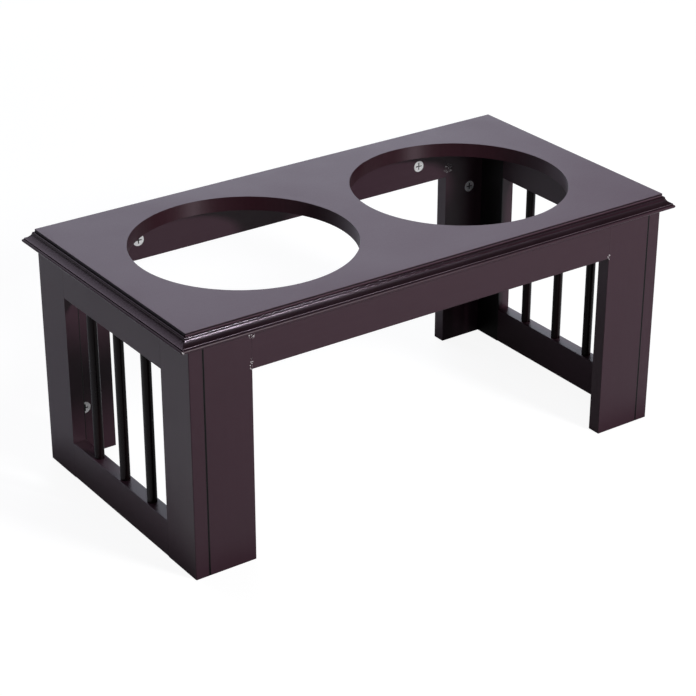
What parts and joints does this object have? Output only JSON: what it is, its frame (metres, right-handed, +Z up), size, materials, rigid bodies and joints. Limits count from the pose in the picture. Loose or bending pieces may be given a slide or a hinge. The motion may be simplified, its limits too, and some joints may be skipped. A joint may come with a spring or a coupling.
{
  "type": "elevated dog feeder",
  "caption": "Free-standing raised feeder stand: moulded top with round bowl cut-outs on slatted side frames, legs and aprons, tied together by turning cam fittings.",
  "frame": {"origin": "on the floor, under the middle of the top board", "axes": "+X along the length, +Y from front to rear, +Z up"},
  "size_m": [0.584, 0.3034, 0.256],
  "materials": {
    "top_paint": "satin espresso paint",
    "frame_paint": "satin espresso paint",
    "slat_paint": "semi-gloss espresso paint",
    "cam_zinc": "bright die-cast zinc",
    "bolt_steel": "zinc plated",
    "dowel_beech": "raw beech"
  },
  "bodies": {
    "stand": {"front_apron": "frame_paint", "front_apron_dowels": "dowel_beech", "front_left_leg": "frame_paint", "front_right_leg": "frame_paint", "left_bottom_rail": "frame_paint", "left_cam_bolts": "bolt_steel", "left_front_slat": "slat_paint", "left_front_stile": "frame_paint", "left_middle_slat": "slat_paint", "left_rail_dowels": "dowel_beech", "left_rear_slat": "slat_paint", "left_rear_stile": "frame_paint", "left_top_rail": "frame_paint", "leg_location_dowels": "dowel_beech", "rear_apron": "frame_paint", "rear_apron_dowels": "dowel_beech", "rear_left_leg": "frame_paint", "rear_right_leg": "frame_paint", "right_bottom_rail": "frame_paint", "right_cam_bolts": "bolt_steel", "right_front_slat": "slat_paint", "right_front_stile": "frame_paint", "right_middle_slat": "slat_paint", "right_rail_dowels": "dowel_beech", "right_rear_slat": "slat_paint", "right_rear_stile": "frame_paint", "right_top_rail": "frame_paint", "top_board": "top_paint", "top_cam_bolts": "bolt_steel", "top_location_dowels": "dowel_beech"},
    "front_apron_left_cam": {"front_apron_left_cam": "cam_zinc"},
    "front_apron_right_cam": {"front_apron_right_cam": "cam_zinc"},
    "front_left_leg_lower_cam": {"front_left_leg_lower_cam": "cam_zinc"},
    "front_left_leg_upper_cam": {"front_left_leg_upper_cam": "cam_zinc"},
    "front_right_leg_lower_cam": {"front_right_leg_lower_cam": "cam_zinc"},
    "front_right_leg_upper_cam": {"front_right_leg_upper_cam": "cam_zinc"},
    "rear_apron_left_cam": {"rear_apron_left_cam": "cam_zinc"},
    "rear_apron_right_cam": {"rear_apron_right_cam": "cam_zinc"},
    "rear_left_leg_lower_cam": {"rear_left_leg_lower_cam": "cam_zinc"},
    "rear_left_leg_upper_cam": {"rear_left_leg_upper_cam": "cam_zinc"},
    "rear_right_leg_lower_cam": {"rear_right_leg_lower_cam": "cam_zinc"},
    "rear_right_leg_upper_cam": {"rear_right_leg_upper_cam": "cam_zinc"}
  },
  "joints": [
    {"name": "front_apron_left_cam_turn", "type": "hinge", "parent": "stand", "child": "front_apron_left_cam", "pos_m": [-0.1755, -0.12725, 0.2225], "axis": [0, 1, 0], "range_deg": [0, 180]},
    {"name": "front_apron_right_cam_turn", "type": "hinge", "parent": "stand", "child": "front_apron_right_cam", "pos_m": [0.1755, -0.12725, 0.2225], "axis": [0, 1, 0], "range_deg": [0, 180]},
    {"name": "front_left_leg_lower_cam_turn", "type": "hinge", "parent": "stand", "child": "front_left_leg_lower_cam", "pos_m": [-0.2465, -0.12725, 0.054], "axis": [0, 1, 0], "range_deg": [0, 180]},
    {"name": "front_left_leg_upper_cam_turn", "type": "hinge", "parent": "stand", "child": "front_left_leg_upper_cam", "pos_m": [-0.2465, -0.12725, 0.183], "axis": [0, 1, 0], "range_deg": [0, 180]},
    {"name": "front_right_leg_lower_cam_turn", "type": "hinge", "parent": "stand", "child": "front_right_leg_lower_cam", "pos_m": [0.2465, -0.12725, 0.054], "axis": [0, 1, 0], "range_deg": [0, 180]},
    {"name": "front_right_leg_upper_cam_turn", "type": "hinge", "parent": "stand", "child": "front_right_leg_upper_cam", "pos_m": [0.2465, -0.12725, 0.183], "axis": [0, 1, 0], "range_deg": [0, 180]},
    {"name": "rear_apron_left_cam_turn", "type": "hinge", "parent": "stand", "child": "rear_apron_left_cam", "pos_m": [-0.1755, 0.12725, 0.2225], "axis": [0, -1, 0], "range_deg": [0, 180]},
    {"name": "rear_apron_right_cam_turn", "type": "hinge", "parent": "stand", "child": "rear_apron_right_cam", "pos_m": [0.1755, 0.12725, 0.2225], "axis": [0, -1, 0], "range_deg": [0, 180]},
    {"name": "rear_left_leg_lower_cam_turn", "type": "hinge", "parent": "stand", "child": "rear_left_leg_lower_cam", "pos_m": [-0.2465, 0.12725, 0.054], "axis": [0, -1, 0], "range_deg": [0, 180]},
    {"name": "rear_left_leg_upper_cam_turn", "type": "hinge", "parent": "stand", "child": "rear_left_leg_upper_cam", "pos_m": [-0.2465, 0.12725, 0.183], "axis": [0, -1, 0], "range_deg": [0, 180]},
    {"name": "rear_right_leg_lower_cam_turn", "type": "hinge", "parent": "stand", "child": "rear_right_leg_lower_cam", "pos_m": [0.2465, 0.12725, 0.054], "axis": [0, -1, 0], "range_deg": [0, 180]},
    {"name": "rear_right_leg_upper_cam_turn", "type": "hinge", "parent": "stand", "child": "rear_right_leg_upper_cam", "pos_m": [0.2465, 0.12725, 0.183], "axis": [0, -1, 0], "range_deg": [0, 180]}
  ]
}
